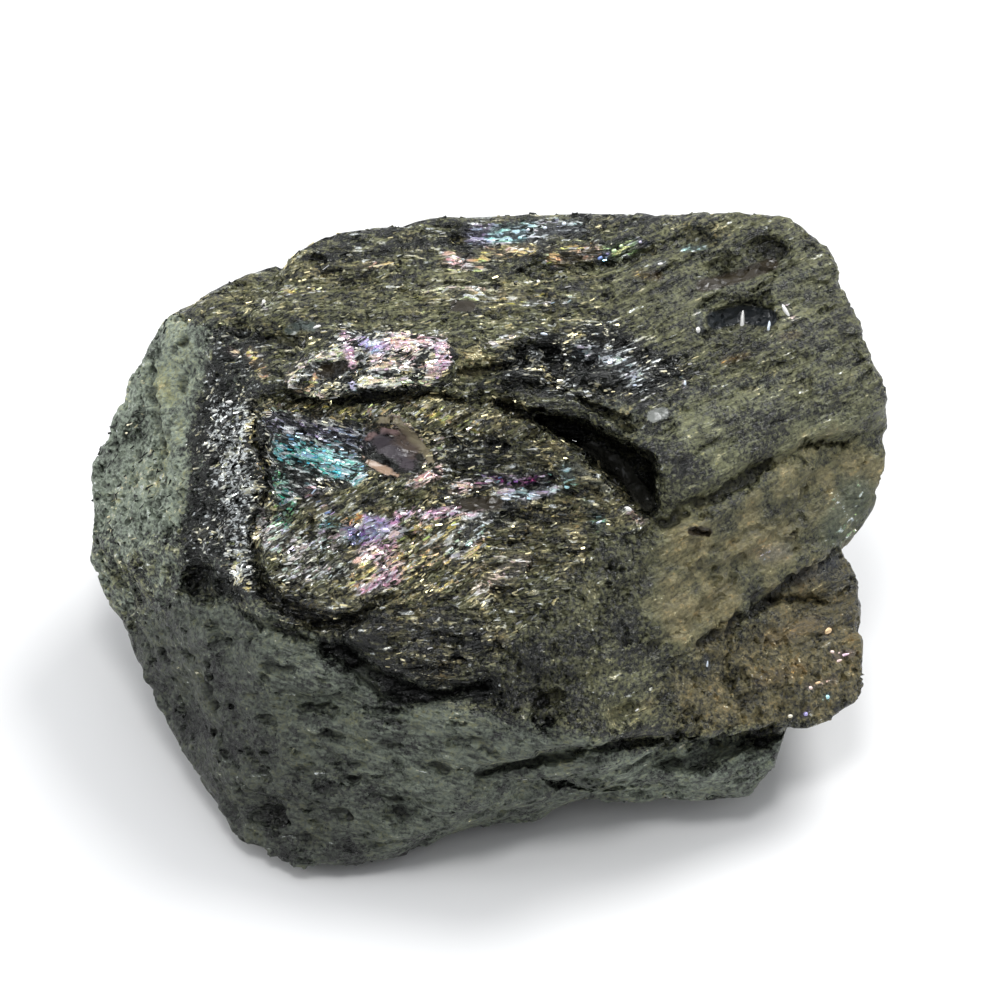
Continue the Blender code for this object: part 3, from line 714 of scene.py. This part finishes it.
# Hollows are spots in the picture, in pixels, with half a length and width and a depth in
# millimetres.
stoneHollows = [
    (183, 342, 0.5, 0.5, 0.6), (152, 395, 0.4, 0.8, 0.6), (181, 390, 0.3, 1.0, 0.5),
    (135, 480, 0.6, 0.5, 0.5), (160, 500, 0.7, 0.4, 0.5), (185, 585, 1.6, 0.8, 0.6),
    (332, 373, 1.7, 1.0, 0.6), (770, 252, 1.7, 1.0, 0.5), (733, 265, 2.2, 0.8, 0.4),
    (695, 240, 2.0, 0.8, 0.3), (655, 647, 0.6, 0.5, 0.5), (748, 697, 1.3, 0.7, 0.5),
    (325, 790, 1.5, 0.42, 0.6), (390, 802, 1.7, 0.42, 0.6), (206, 690, 1.3, 0.51, 0.6),
    (406, 816, 1.5, 0.51, 0.7), (276, 816, 2.1, 0.8, 0.7), (545, 698, 1.8, 0.8, 0.6),
    (215, 706, 1.7, 0.42, 0.6), (326, 736, 2.4, 0.42, 0.5), (250, 756, 2.4, 0.42, 0.5),
    (332, 814, 2.1, 0.51, 0.6), (166, 657, 1.1, 0.51, 0.6), (295, 772, 1.4, 0.42, 0.5),
    (345, 762, 1.7, 0.38, 0.5), (230, 640, 1.7, 0.38, 0.5), (275, 668, 2, 0.38, 0.5),
    (440, 770, 1.7, 0.38, 0.5), (470, 740, 1.7, 0.38, 0.5), (355, 780, 1.4, 0.38, 0.5),
    (190, 655, 1.3, 0.42, 0.5), (265, 720, 1.4, 0.38, 0.5), (380, 745, 1.7, 0.34, 0.4),
    (240, 790, 1.4, 0.42, 0.5), (300, 840, 2, 0.51, 0.5), (135, 455, 0.6, 0.6, 0.5),
    (150, 480, 0.5, 0.5, 0.5), (128, 520, 0.6, 0.5, 0.5), (160, 455, 0.5, 0.6, 0.5),
    (170, 530, 0.7, 0.5, 0.5), (115, 500, 0.5, 0.5, 0.4), (120, 580, 1.0, 0.5, 0.5),
    (620, 711, 1.4, 0.4, 0.4), (720, 285, 1.0, 0.3, 0.3), (456, 446, 1.3, 0.4, 0.35),
    (492, 462, 1.2, 0.35, 0.35), (518, 466, 1.1, 0.3, 0.3), (530, 486, 1.5, 0.35, 0.35),
    (508, 514, 1.2, 0.3, 0.3), (545, 514, 1.2, 0.3, 0.3), (438, 414, 1.2, 0.3, 0.3),
    (458, 540, 1.0, 0.3, 0.3), (415, 500, 1.6, 0.3, 0.3), (398, 562, 1.4, 0.25, 0.3),
    (566, 540, 1.2, 0.3, 0.3), (340, 496, 0.9, 0.4, 0.3), (306, 558, 1.0, 0.25, 0.3),
    (500, 588, 1.3, 0.3, 0.3), (440, 600, 1.5, 0.3, 0.3),
]
# Gaps are outlines in the picture, in pixels, that are sunk away from the camera: a depth in
# millimetres and the width of the slope at the edge in pixels.
stoneGaps = [
    (2.3, 5, [(495, 400), (517, 400), (533, 405), (563, 416), (589, 427), (619, 437), (637, 442),
        (657, 453), (656, 512), (645, 512), (624, 498), (609, 480), (589, 460), (563, 444), (543, 432),
        (522, 421), (502, 414)]),
    (1.1, 4, [(574, 395), (604, 404), (632, 417), (639, 428), (630, 435), (612, 427), (580, 407)]),
    (1.2, 3, [(290, 394), (318, 397), (364, 390), (425, 388), (460, 398), (470, 407), (430, 400),
        (400, 402), (350, 405), (318, 403), (292, 400)]),
    (0.75, 3, [(250, 398), (255, 400), (258, 440), (271, 470), (274, 494), (260, 516), (252, 534),
        (257, 556), (258, 580), (253, 578), (249, 556), (246, 534), (254, 508), (267, 490), (264, 474),
        (252, 446)]),
    (1.2, 5, [(253, 565), (266, 571), (284, 594), (308, 608), (335, 615), (378, 602), (382, 611),
        (345, 630), (310, 632), (284, 618), (260, 596)]),
    (1.0, 3, [(510, 348), (528, 348), (530, 366), (512, 367)]),
    (0.9, 3, [(450, 370), (480, 364), (520, 362), (545, 368), (540, 376), (500, 376), (465, 380)]),
    (1.4, 6, [(320, 648), (336, 641), (354, 645), (364, 659), (386, 667), (410, 680), (432, 690),
        (462, 686), (490, 681), (493, 689), (470, 695), (446, 703), (415, 706), (383, 699), (358, 681),
        (338, 665), (320, 657)]),
    (0.8, 4, [(528, 722), (535, 701), (548, 688), (560, 684), (566, 700), (560, 725), (545, 735)]),
    (0.8, 3, [(500, 383), (540, 381), (568, 388), (567, 399), (530, 403), (504, 396)]),
    (1.0, 3, [(541, 346), (552, 344), (563, 352), (563, 378), (548, 383), (541, 366)]),
    (0.9, 3, [(235, 606), (262, 615), (300, 633), (332, 652), (300, 645), (258, 628)]),
    (0.7, 3, [(297, 704), (330, 706), (360, 714), (330, 716), (300, 711)]),
    (0.7, 3, [(360, 704), (385, 704), (410, 712), (385, 716), (362, 710)]),
    (0.9, 3, [(798, 443), (820, 438), (850, 441), (850, 447), (820, 447), (800, 449)]),
    (0.55, 5, [(702, 320), (720, 306), (745, 300), (774, 304), (778, 322), (768, 336), (740, 340),
        (716, 334)]),
    (1.3, 8, [(176, 578), (198, 560), (232, 572), (246, 598), (216, 606), (190, 602)]),
    (0.8, 4, [(474, 774), (520, 757), (570, 746), (630, 737), (700, 729), (704, 736), (640, 746),
        (580, 756), (530, 767), (480, 780)]),
    (1.1, 6, [(648, 768), (690, 746), (740, 736), (794, 726), (790, 738), (750, 752), (715, 768),
        (680, 774)]),
    (0.7, 3, [(540, 776), (580, 784), (640, 782), (640, 788), (580, 792), (545, 784)]),
    (0.6, 3, [(688, 526), (700, 527), (712, 531), (712, 536), (698, 536), (688, 531)]),
    (0.7, 3, [(760, 598), (792, 595), (828, 598), (828, 604), (792, 604), (762, 603)]),
]
# The carving also gives the sunk value: painted shade that darkens cracks, hollows and gaps by their
# depth.
carving = {
    "wander": ((1.1, 0.5), (0.35, 0.5)),  # how finely and by how many millimetres an edge wanders
    "gapWander": (2.5, 0.35),
    "gapRagged": 0.7,  # the share of both that the edges of the gaps take up
    "crackFloor": 1.8,  # the higher, the wider the floor
    "crackCurve": 0.7,
    "hollowEdge": 1.2,  # a hollow ends at this many times its size
    "hollowFloor": 1.5,
    "gapDepth": 3,  # a gap's depth is divided by this for its darkness
    "gapDark": 0.55,  # and no gap is darker than this
    "fullDark": 0.6,  # a crack or a hollow of this depth is all dark
    "darkCurve": 1.3,
    "seed": 5,  # without it the noise vectors would be drawn by the clock
}


def wander(places, fineness, reach):
    return np.array([noise.noise_vector(Vector(place) * fineness) for place in places]) * reach


def carve(stone):
    tree = treeOf(stone)
    places = placesOf(stone)
    normals = normalsOf(stone)
    noise.seed_set(carving["seed"])
    ragged = sum(wander(places, *amount) for amount in carving["wander"])
    warped = places + ragged
    sunk = np.zeros(len(places))
    for path, width, depth in stoneCracks:
        hits = [seenAt(tree, *spot) for spot in path]
        share = np.clip(1 - pathDistance(warped, hits) / width, 0, 1)
        floor = np.minimum(share * carving["crackFloor"], 1) ** carving["crackCurve"]
        sunk = np.maximum(sunk, depth * floor)
    edge = carving["hollowEdge"]
    for x, y, length, width, depth in stoneHollows:
        offset = (warped - np.array(seenAt(tree, x, y))) / (length, width * edge, width * edge)
        share = np.clip(1 - np.linalg.norm(offset, axis=1) / edge, 0, 1)
        sunk = np.maximum(sunk, depth * np.minimum(share * carving["hollowFloor"], 1))
    places = places - normals * sunk[:, None]
    eye = np.array(sightLine(0, 0)[0])
    facing = facingShare(stone)
    ragged += wander(places, *carving["gapWander"])
    spots = pictureSpots(places + ragged * carving["gapRagged"])
    for depth, slope, outline in stoneGaps:
        share = np.clip(depthInside(spots, outline) / slope, 0, 1) * facing
        away = places - eye
        away /= np.linalg.norm(away, axis=1)[:, None]
        places = places + away * (share * depth)[:, None]
        sunk = np.maximum(sunk, share * min(depth / carving["gapDepth"], carving["gapDark"]))
    places[:, 2] = np.maximum(places[:, 2], 0)  # the flat spot on which the stone rests
    stone.data.vertices.foreach_set("co", (places * milli).ravel())
    stone.data.update()
    # painted shade: the colour of cracks, hollows and gaps darkens with their depth
    store(stone, "sunk", np.clip(sunk / carving["fullDark"], 0, 1) ** carving["darkCurve"])
    print("cracks carved")


def thin(stone):
    fewer = stone.modifiers.new("thin", "DECIMATE")
    fewer.ratio = skin["triangles"] / (2 * len(stone.data.polygons))
    bpy.context.view_layer.update()
    plainMesh(stone)
    print("thinned to", len(stone.data.polygons), "faces")


shards = {
    "Density": 14.0,  # on a square millimetre of bare stone
    "Length": 0.36,
    "Width": 0.1,
    "Tilt": 0.35,
    "Seed": 5,
}
shardSpread = {
    "lengths": (0.5, 1.9),  # times the length above
    "widths": (0.6, 1.6),
    "roll": 0.8,  # radians
    "levelRun": (1, 0.3, 0),
    "patches": (2.6, 2.0, 0.6, 4.7),
    "leastPatch": 0.25,  # how dense they are between the patches
}
shardPlaces = {
    "bare": ({"gloss": 1}, 0.25, 0.8),
    "plain": ({"plainCover": 1}, 0.2, 0.5),
    "patch": ({"patches": 1}, 0.42, 0.58),
}


def chanceIn(graph, seed, low=0.0, high=1.0):
    return graph.node("FunctionNodeRandomValue", {"data_type": "FLOAT"},
                      {2: low, 3: high, "Seed": seed}, 1)


def makeShards(stone, material):  # splinters that lie in the bare parts of the stone
    thing = newThing("tourmalineShards", stone.data.copy())
    graph, size = openTree("crystalShards", shards)
    place = graph.node("GeometryNodeInputPosition", {}, {}) * perMetre
    wires = {name: attributeIn(graph, name) for name in ("gloss", "sunk", "strokes", "plainCover")}
    wires["patches"] = graph.grain(place, *shardSpread["patches"])
    mask = masksOf(graph, shardPlaces, wires)
    bare = mask["bare"] * (1.0 - wires["sunk"]) * (1.0 - mask["plain"])
    bare = bare * (shardSpread["leastPatch"] + mask["patch"])
    points, turned = graph.wires("GeometryNodeDistributePointsOnFaces", {}, {
        "Mesh": size["Geometry"], "Density": bare * size["Density"] * perMetre ** 2,
        "Seed": size["Seed"]}, ("Points", "Rotation"))
    run = shardSpread["levelRun"]
    for step, turn in grainRun["turns"]:
        other = Matrix.Rotation(-turn, 3, Vector(grainRun["axis"])) @ Vector((1, 0, 0))
        run = graph.pick(wires["strokes"], step, run, tuple(other))
    turned = graph.node("FunctionNodeAlignRotationToVector", {"axis": "X", "pivot_axis": "Z"},
                        {"Rotation": turned, "Vector": run})
    low, high = (graph.vector(side * shardSpread["roll"], size["Tilt"] * side, size["Tilt"] * side)
                 for side in (-1.0, 1.0))
    lean = graph.node("FunctionNodeRandomValue", {"data_type": "FLOAT_VECTOR"},
                      {0: low, 1: high, "Seed": 1})
    turned = graph.node("FunctionNodeRotateRotation", {"rotation_space": "LOCAL"},
                        {"Rotation": turned, "Rotate By": lean})
    long = chanceIn(graph, 2, *shardSpread["lengths"]) * size["Length"]
    wide = chanceIn(graph, 3, *shardSpread["widths"]) * size["Width"]
    cube = graph.node("GeometryNodeMeshCube", {}, {"Size": (milli, milli, milli)})
    placed = graph.node("GeometryNodeInstanceOnPoints", {}, {
        "Points": points, "Instance": cube, "Rotation": turned,
        "Scale": graph.vector(long, wide, wide)})
    placed = keepValue(graph, placed, "luck", chanceIn(graph, 4), "INSTANCE")
    closeTree(graph, placed, material)
    runTree(thing, graph, shards)
    print("shards", len(thing.data.polygons), "faces")
    return thing


def newMaterial(name):  # with its tree and the shader in it
    material = bpy.data.materials.new(name)
    material.use_nodes = True
    return material, Graph(material.node_tree), material.node_tree.nodes["Principled BSDF"]


def paintedOn(graph, names):  # the painted values and tints that a material reads
    return {name: graph.node("ShaderNodeAttribute", {"attribute_name": name}, {},
                             "Color" if name.endswith("Tint") else "Fac") for name in names}


stoneFinish = {
    "black": (0.014, 0.016, 0.014),
    "olive": (0.164, 0.166, 0.082),
    "brownDust": (0.215, 0.185, 0.088),
    "rust": (0.31, 0.205, 0.075),
    "greyFilm": (0.190, 0.221, 0.174),
    "silver": (0.86, 0.90, 0.90),
    "paleGold": (0.86, 0.77, 0.46),
    "glossRoughness": 0.2,
    "dustRoughness": 0.6,
    "glintRoughness": 0.3,
    "plainRoughness": 0.22,
    "facetSlope": 1.6,
    "leastFine": 0.1,  # the share of the fine grain that is left where fine is 0
    "fineMottle": (0.5, 0.8),  # between these strengths of the grain the mottle takes up its run
    "refraction": 1.45,
}
# The noises of the stone as in reliefPatterns. Crystals are cells.
stonePatterns = {
    "fibres": ((1.5, 0.34, 0.34), 3.0, 0.65),
    "clouds": (3.6, 4.0, 0.6, 3.3),
    "mottle": ((2.4, 0.8, 0.8), 4.0, 0.65, 9.1),
    "speckle": (0.3, 2.0, 0.7, 1.7),
    "crystals": ((0.85, 0.3, 0.3), 4.4),
}
stoneMasks = {
    "plain": ({"plainCover": 1, "speckle": 0.5}, 0.35, 0.6),
    "dusty": ({"dust": 0.8, "mottle": 1.6, "speckle": 1.2}, 0.3, 0.75),
    "greyish": ({"grey": 0.8, "clouds": 1.2, "speckle": 1}, 0.25, 0.7),
    "brownish": ({"brown": 1, "clouds": 1.8}, 0.3, 0.9),
    "rusty": ({"brown": 0.35, "luck": 0.3, "speckle": 1, "clouds": 1.4}, 0.4, 0.8),
    "light": ({"grains": 1, "mottle": 1.2}, -0.5, 0.5),
    "glint": ({"fibres": 2.6, "luck": 0.5, "mottle": 1.7, "speckle": 0.6, "gloss": 1,
               "filmCover": 0.4}, 0.7, 1.1),
    "warm": ({"dust": 0.7, "clouds": 2, "warmth": 0.9}, 0.1, 0.8),
    "film": ({"filmCover": 1, "warmth": 0.7}, 0.2, 0.5),
    "silvery": ({"spare": 1, "fibres": 1}, 0.1, 0.6),
}


def makeStoneMaterial():
    material, graph, shader = newMaterial("blackTourmaline")
    finish = stoneFinish
    place = graph.node("ShaderNodeTexCoord", {}, {}, "Object") * perMetre
    wires = paintedOn(graph, ("dust", "grey", "gloss", "brown", "strokes", "sunk", "toneAndPaintedLight", "fine",
                              "hole", "filmCover", "filmTint", "plainCover", "plainTint"))
    fine, gloss, sunk = (wires[name] for name in ("fine", "gloss", "sunk"))
    fineShare = finish["leastFine"] + fine
    grain = alongGrain(graph, place, wires["strokes"])
    # noises and chances are centred: they go about half up and half down from 0
    fibres, mottle, clouds, speckle = (
        graph.grain(spot, *stonePatterns[name]) - 0.5
        for name, spot in (("fibres", grain), ("mottle", grain), ("clouds", place), ("speckle", place)))
    chance, offset = graph.cells(grain, *stonePatterns["crystals"])[:2]
    chance = chance - 0.5
    luck, warmth, spare = graph.parts(chance)
    mottle = graph.mix(graph.rise(fine, *finish["fineMottle"]), clouds, mottle)
    grains = (fibres * 1.3 + speckle * 1.3 + luck * 0.4) * fineShare
    wires.update(fibres=fibres, clouds=clouds, mottle=mottle, speckle=speckle, luck=luck,
                 warmth=warmth, spare=spare, grains=grains)
    mask = masksOf(graph, stoneMasks, wires)
    broken = 1.0 - mask["plain"]
    glint = mask["glint"] * broken * (1.0 - sunk)

    dustTint = graph.tint(mask["brownish"], finish["olive"], finish["brownDust"])
    dustTint = graph.tint(mask["rusty"], dustTint, finish["rust"])
    base = graph.tint(mask["greyish"], finish["black"], finish["greyFilm"])
    base = graph.tint(mask["dusty"] * 0.85, base, dustTint)
    # the colour factor of each region brings in its painted light and shade
    base = base * ((mask["light"] * 1.6 + 0.1) * wires["toneAndPaintedLight"])
    filmed = wires["filmTint"] * (mask["light"] * 0.2 + 0.02)
    base = graph.tint(wires["filmCover"] * 0.7, base, filmed)
    base = graph.tint(mask["plain"], base, wires["plainTint"] * (1.0 + clouds * 0.4))
    # painted shade: cracks, hollows, gaps and pits are darkened in the colour
    base = base * ((1.0 - sunk * 0.8) * (1.0 - wires["hole"] * 0.8))
    # painted glints: glint strokes take a pale metal tint, which the lamps and the sky light up
    glintTint = graph.tint(mask["warm"], finish["silver"], finish["paleGold"])
    odd = graph.tint(mask["silvery"], wires["filmTint"] + chance * 0.3, finish["silver"])
    base = graph.tint(glint, base, graph.tint(mask["film"], glintTint, odd))

    cover = graph.sum("MAXIMUM", mask["dusty"] * 0.8, mask["greyish"])
    rough = graph.mix(cover, finish["glossRoughness"], finish["dustRoughness"])
    rough = rough + (spare + speckle) * 0.2
    rough = graph.mix(glint, rough, finish["glintRoughness"] + spare * 0.2)
    rough = graph.mix(mask["plain"], rough, finish["plainRoughness"])

    facets = graph.dot(chance, offset) * finish["facetSlope"]
    height = fibres * 0.35 * fineShare + facets * (0.35 + gloss) * fine + speckle * 0.07
    bump = graph.node("ShaderNodeBump", {}, {"Height": height * (broken * 0.9 + 0.1),
                                             "Distance": milli, "Strength": 1.0})
    # under films the glints are less metallic, so their pale tints also show as painted sheen
    graph.fill(shader, {
        "Base Color": base, "Roughness": rough, "Normal": bump, "IOR": finish["refraction"],
        "Metallic": glint * (0.9 - wires["filmCover"] * 0.3)})
    return material


shardMasks = {
    "bright": ({"luck": 0.55, "gloss": 0.45, "filmCover": 0.3, "clouds": 2.2}, 0.66, 0.86),
    "warm": ({"dust": 0.7, "clouds": 2, "luck": 0.6}, 0.4, 1.1),
    "film": ({"filmCover": 1}, 0.25, 0.55),
    "silvery": ({"chance": 1}, 0.6, 0.9),
    "dusty": ({"dust": 1, "luck": 0.6}, 0.8, 1.3),
}
shardClouds = (2.2, 2.0, 0.6, 8.3)


def makeShardMaterial():
    material, graph, shader = newMaterial("blackShards")
    finish = stoneFinish
    place = graph.node("ShaderNodeTexCoord", {}, {}, "Object") * perMetre
    wires = paintedOn(graph, ("luck", "dust", "toneAndPaintedLight", "gloss", "filmCover", "filmTint"))
    luck = wires["luck"]
    chance = graph.node("ShaderNodeTexWhiteNoise", {"noise_dimensions": "1D"}, {"W": luck * 50.0},
                        "Color")
    wires["chance"] = graph.parts(chance)[0]
    wires["clouds"] = graph.grain(place, *shardClouds) - 0.5
    mask = masksOf(graph, shardMasks, wires)
    odd = graph.tint(mask["silvery"], wires["filmTint"] + (chance - 0.5) * 0.35, finish["silver"])
    tint = graph.tint(mask["warm"], finish["silver"], finish["paleGold"])
    tint = graph.tint(mask["film"], tint, odd)
    # dull shards take the colour factor of the stone under them, with its painted light and shade
    dull = graph.tint(mask["dusty"], finish["black"], finish["olive"]) * wires["toneAndPaintedLight"]
    graph.fill(shader, {
        "Base Color": graph.tint(mask["bright"], dull, tint), "Metallic": mask["bright"] * 0.9,
        "Roughness": luck * 0.2 + 0.15})
    return material


# Bright grains on the stone, partly coloured crystals and partly painted highlights and glints: their
# place in the picture, their length and width in pixels, their tilt in degrees and their tint.
highlightSparks = [
    (628, 509, 9, 5, -20, "silver"), (827, 631, 11, 7, 20, "amber"), (827, 697, 6, 5, 0, "cyan"),
    (806, 714, 6, 5, 0, "violet"), (844, 655, 12, 3, 15, "pink"), (838, 661, 9, 3, 20, "rose"),
    (832, 652, 5, 4, 0, "rose"), (818, 683, 9, 5, 15, "amber"), (810, 688, 6, 4, 0, "rose"),
    (707, 663, 3, 9, 0, "ice"), (637, 710, 5, 2, 30, "silver"), (790, 716, 6, 4, 0, "cream"),
    (317, 327, 9, 4, 20, "silver"), (352, 385, 5, 9, -10, "paleViolet"),
    (264, 303, 5, 8, 10, "silver"), (742, 324, 5, 30, -4, "silver"), (769, 329, 4, 18, -3, "ice"),
    (786, 312, 5, 19, 26, "silver"), (698, 330, 5, 7, 0, "silver"), (685, 384, 3, 8, 0, "ice"),
    (660, 264, 7, 3, 10, "silver"), (614, 251, 6, 5, 0, "green"), (621, 246, 5, 4, 0, "green"),
    (600, 258, 6, 4, 30, "blue"), (640, 242, 4, 3, 0, "paleViolet"), (564, 224, 5, 5, 0, "ice"),
    (520, 238, 5, 4, 0, "cyan"), (528, 230, 5, 4, 0, "ice"), (521, 250, 8, 4, 15, "cream"),
    (460, 262, 5, 4, 0, "rose"), (538, 282, 5, 5, 0, "silver"), (544, 334, 8, 3, -10, "ice"),
    (506, 499, 10, 3, -5, "ice"), (534, 495, 14, 3, -8, "ice"), (440, 513, 26, 3, 8, "pink"),
    (407, 514, 10, 3, 10, "pink"), (385, 530, 10, 5, -10, "paleViolet"),
    (231, 402, 12, 4, 0, "silver"), (288, 563, 12, 4, 10, "silver"),
    (238, 568, 5, 10, 10, "silver"), (512, 414, 6, 4, -20, "silver"), (567, 487, 6, 4, 0, "cyan"),
    (600, 522, 9, 3, 15, "ice"), (545, 228, 5, 4, 0, "ice"),
]
sparkFinish = {
    "flat": 26,  # how many pixels of length or width make a radius of one millimetre
    "thick": 40,
    "looks": {"Metallic": 0.4, "Roughness": 0.3},
}


def makeHighlightSparks(tree):
    form = bmesh.new()
    colours = []
    towards, upward = viewDirections()[1:]
    flat = Matrix((Vector((1, 0, 0)), upward, towards)).transposed()
    for x, y, length, width, tilt, tint in highlightSparks:
        turn = flat @ Matrix.Rotation(math.radians(tilt), 3, "Z")
        half = Matrix.Diagonal((length / sparkFinish["flat"], width / sparkFinish["flat"],
                                min(length, width) / sparkFinish["thick"]))
        spot = Matrix.Translation(seenAt(tree, x, y) * milli)
        made = bmesh.ops.create_icosphere(form, subdivisions=2, radius=1,
                                          matrix=spot @ (turn @ half * milli).to_4x4())
        colours += [(*filmTints[tint], 1)] * len(made["verts"])
    mesh = bpy.data.meshes.new("highlightSparks")
    form.to_mesh(mesh)
    form.free()
    thing = newThing("tourmalineSparks", mesh)
    store(thing, "tint", np.array(colours), "FLOAT_COLOR")
    material, graph, shader = newMaterial("highlightSparks")
    tint = graph.node("ShaderNodeAttribute", {"attribute_name": "tint"}, {}, "Color")
    graph.fill(shader, {"Base Color": tint, **sparkFinish["looks"]})
    mesh.materials.append(material)
    print("sparks placed")
    return thing


studio = {
    "floorSize": 6.0,
    "floor": {"Base Color": (0.86, 0.86, 0.86), "Roughness": 0.9, "Specular IOR Level": 0.1},
    "skyColour": (0.95, 0.97, 1.0),
    "frontSky": 0.2,
    "backSky": 0.95,
    "frontToBack": (-0.7, 0.4),  # from where to where the sky goes over from the front to the back
    "highSky": 0.9,
    "skyTurn": (0.5, 0.85),  # how high, as the sine of the height, the sky starts and ends to darken
}
# Each lamp is a disk that looks at the stone: its place and width in millimetres and its power.
studioLamps = {
    "key": {"place": (270, 260, 540), "width": 280, "power": 2.6},
    "top": {"place": (-20, -160, 580), "width": 140, "power": 0.9},
    "left": {"place": (-520, -60, 330), "width": 160, "power": 0.5},
}


def makeStudio():
    mesh = bpy.data.meshes.new("table")
    half = studio["floorSize"] / 2
    mesh.from_pydata([(-half, -half, 0), (half, -half, 0), (half, half, 0), (-half, half, 0)],
                     [], [(0, 1, 2, 3)])
    table = newThing("table", mesh)
    material, graph, shader = newMaterial("paleTable")
    graph.fill(shader, studio["floor"])
    mesh.materials.append(material)
    for name, lamp in studioLamps.items():
        light = bpy.data.lights.new(name, "AREA")
        light.shape = "DISK"
        light.size = lamp["width"] * milli
        light.energy = lamp["power"]
        holder = newThing(name, light)
        holder.location = Vector(lamp["place"]) * milli
        holder.rotation_euler = holder.location.to_track_quat("Z", "Y").to_euler()
    world = bpy.data.worlds.new("studio")
    bpy.context.scene.world = world
    world.use_nodes = True
    graph = Graph(world.node_tree)
    direction = graph.node("ShaderNodeTexCoord", {}, {}, "Generated")
    right, back, up = graph.parts(direction)
    aroundShare = graph.rise(back, *studio["frontToBack"])
    around = graph.mix(aroundShare, studio["frontSky"], studio["backSky"])
    height = graph.rise(up, *studio["skyTurn"])
    graph.fill(world.node_tree.nodes["Background"], {
        "Color": studio["skyColour"], "Strength": graph.mix(height, around, studio["highSky"])})
    bpy.context.scene.view_settings.view_transform = "Standard"
    print("studio ready")


def main():
    makeCamera()
    makeStudio()
    material = makeStoneMaterial()
    stone = makeSkin()
    paintRegions(stone)
    addRelief(stone, material)
    carve(stone)
    thin(stone)
    tree = treeOf(stone)
    paintStrokes(stone, tree, filmStrokes, filmTints, "film")
    paintStrokes(stone, tree, plainSpots, plainTints, "plain")
    pieces = (stone, makeShards(stone, makeShardMaterial()), makeHighlightSparks(tree))
    for piece in pieces:
        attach(piece, "root")
        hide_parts("black_tourmaline")
    print("stone", len(stone.data.polygons), "faces")


main()
